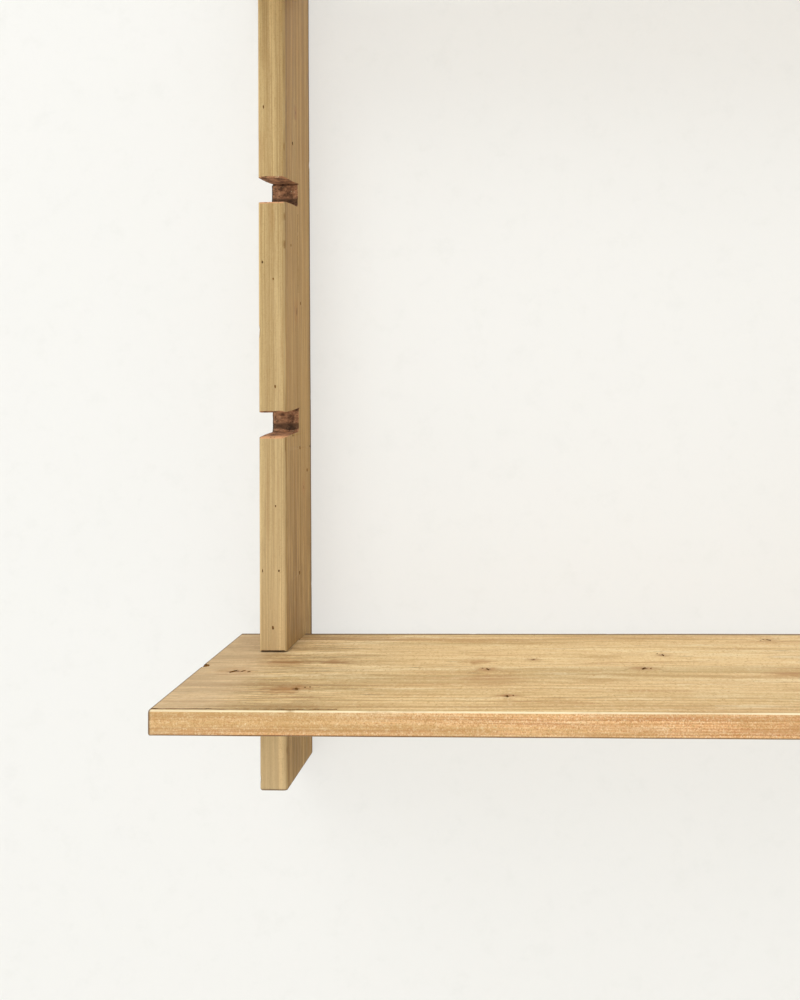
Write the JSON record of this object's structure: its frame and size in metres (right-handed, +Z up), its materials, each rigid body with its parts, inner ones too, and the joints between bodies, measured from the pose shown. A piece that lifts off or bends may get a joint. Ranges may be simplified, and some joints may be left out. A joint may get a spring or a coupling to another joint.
{
  "type": "modular wall shelving unit",
  "caption": "Wall-hung plank shelving: notched uprights, each on let-in keyhole plates, carry long shelf boards cross-lapped into them, which pull out forwards.",
  "frame": {"origin": "in the wall plane, at the middle of the centre upright's back edge, halfway up", "axes": "+X along the shelves to the right as seen from the room, +Y into the wall, +Z up"},
  "size_m": [2.14, 0.323, 2.116],
  "materials": {
    "upright_pine": "old planed pine, waxed",
    "shelf_pine": "old planed pine, waxed",
    "zinc_steel": "zinc plated"
  },
  "bodies": {
    "wall_frame": {"upright_left": "upright_pine", "upright_centre": "upright_pine", "upright_right": "upright_pine", "plate_left_lower": "zinc_steel", "plate_left_upper": "zinc_steel", "plate_centre_lower": "zinc_steel", "plate_centre_upper": "zinc_steel", "plate_right_lower": "zinc_steel", "plate_right_upper": "zinc_steel", "screw_left_lower_a": "zinc_steel", "screw_left_lower_b": "zinc_steel", "screw_left_upper_a": "zinc_steel", "screw_left_upper_b": "zinc_steel", "screw_centre_lower_a": "zinc_steel", "screw_centre_lower_b": "zinc_steel", "screw_centre_upper_a": "zinc_steel", "screw_centre_upper_b": "zinc_steel", "screw_right_lower_a": "zinc_steel", "screw_right_lower_b": "zinc_steel", "screw_right_upper_a": "zinc_steel", "screw_right_upper_b": "zinc_steel"},
    "lower_shelf": {"shelf_lower": "shelf_pine"},
    "middle_shelf": {"shelf_middle": "shelf_pine"},
    "upper_shelf": {"shelf_upper": "shelf_pine"}
  },
  "joints": [
    {"name": "lower_shelf_pull", "type": "slide", "parent": "wall_frame", "child": "lower_shelf", "axis": [0, -1, 0], "range_m": [0, 0.12]},
    {"name": "middle_shelf_pull", "type": "slide", "parent": "wall_frame", "child": "middle_shelf", "axis": [0, -1, 0], "range_m": [0, 0.12]},
    {"name": "upper_shelf_pull", "type": "slide", "parent": "wall_frame", "child": "upper_shelf", "axis": [0, -1, 0], "range_m": [0, 0.12]}
  ]
}
